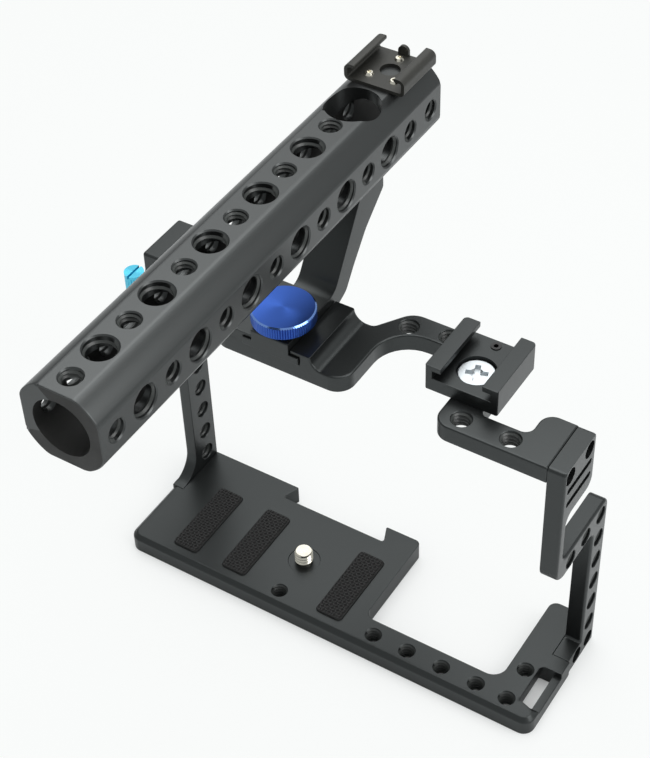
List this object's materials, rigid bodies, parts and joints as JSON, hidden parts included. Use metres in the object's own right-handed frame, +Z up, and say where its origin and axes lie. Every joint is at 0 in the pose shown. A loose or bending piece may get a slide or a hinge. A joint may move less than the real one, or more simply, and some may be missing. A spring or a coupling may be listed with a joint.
{
  "type": "camera cage",
  "caption": "Four-sided cage that screws to a camera's base, with tapped accessory holes, two accessory shoes, a cable clamp and a drilled tube handle that slides on top under a knurled knob.",
  "frame": {"origin": "middle of the footprint, on the table", "axes": "+X to the camera's grip side, +Y to its lens side, along the handle, +Z up"},
  "size_m": [0.169, 0.1714, 0.1756],
  "materials": {
    "anodised_black": "black anodised, fine matte",
    "anodised_handle": "black anodised, fine matte",
    "anodised_blue": "blue anodised, turned top and knurled rim",
    "anodised_cyan": "cyan anodised",
    "pad_rubber": "diamond pattern",
    "steel": "plain, threaded",
    "zinc": "bright zinc plated",
    "black_steel": "black oxide",
    "black_sheet": "semi-gloss black"
  },
  "bodies": {
    "cage": {"base_plate": "anodised_black", "base_pads": "pad_rubber", "screw_retainer": "black_steel", "left_side_plate": "anodised_black", "right_side_plate": "anodised_black", "top_plate": "anodised_black", "left_base_screws": "black_steel", "right_base_screws": "black_steel", "left_top_screws": "black_steel", "right_top_screws": "black_steel", "cage_shoe": "anodised_black", "shoe_screw": "zinc", "shoe_set_screw": "black_steel", "cable_lock": "anodised_black", "cable_lock_screws": "black_steel"},
    "camera_screw": {"camera_screw": "steel"},
    "handle": {"handle_riser": "anodised_black", "handle_tube": "anodised_handle", "riser_screws": "black_steel", "handle_shoe": "black_sheet", "handle_shoe_screws": "steel", "clamp_washer": "black_steel"},
    "clamp_knob": {"clamp_knob": "anodised_blue", "clamp_stud": "steel"},
    "cable_jaw": {"cable_jaw": "anodised_black"},
    "cable_thumbscrew": {"cable_thumbscrew": "anodised_cyan"}
  },
  "joints": [
    {"name": "handle_slide", "type": "slide", "parent": "cage", "child": "handle", "axis": [0, 1, 0], "range_m": [-0.004, 0.015]},
    {"name": "knob_turn", "type": "hinge", "parent": "handle", "child": "clamp_knob", "pos_m": [-0.0149, 0.01355, 0.1199], "axis": [0, 0, 1], "continuous": true},
    {"name": "camera_screw_turn", "type": "hinge", "parent": "cage", "child": "camera_screw", "pos_m": [-0.013, 0.01375, 0.006], "axis": [0, 0, 1], "continuous": true},
    {"name": "jaw_slide", "type": "slide", "parent": "cage", "child": "cable_jaw", "axis": [0, 0, -1], "range_m": [0, 0.0042]},
    {"name": "thumbscrew_turn", "type": "hinge", "parent": "cable_jaw", "child": "cable_thumbscrew", "pos_m": [-0.0788, 0.02135, 0.09], "axis": [0, 0, -1], "range_deg": [0, 2160]}
  ],
  "couplings": [
    {"joint": "thumbscrew_turn", "follows": "jaw_slide", "rad_per_m": 8975.9}
  ]
}
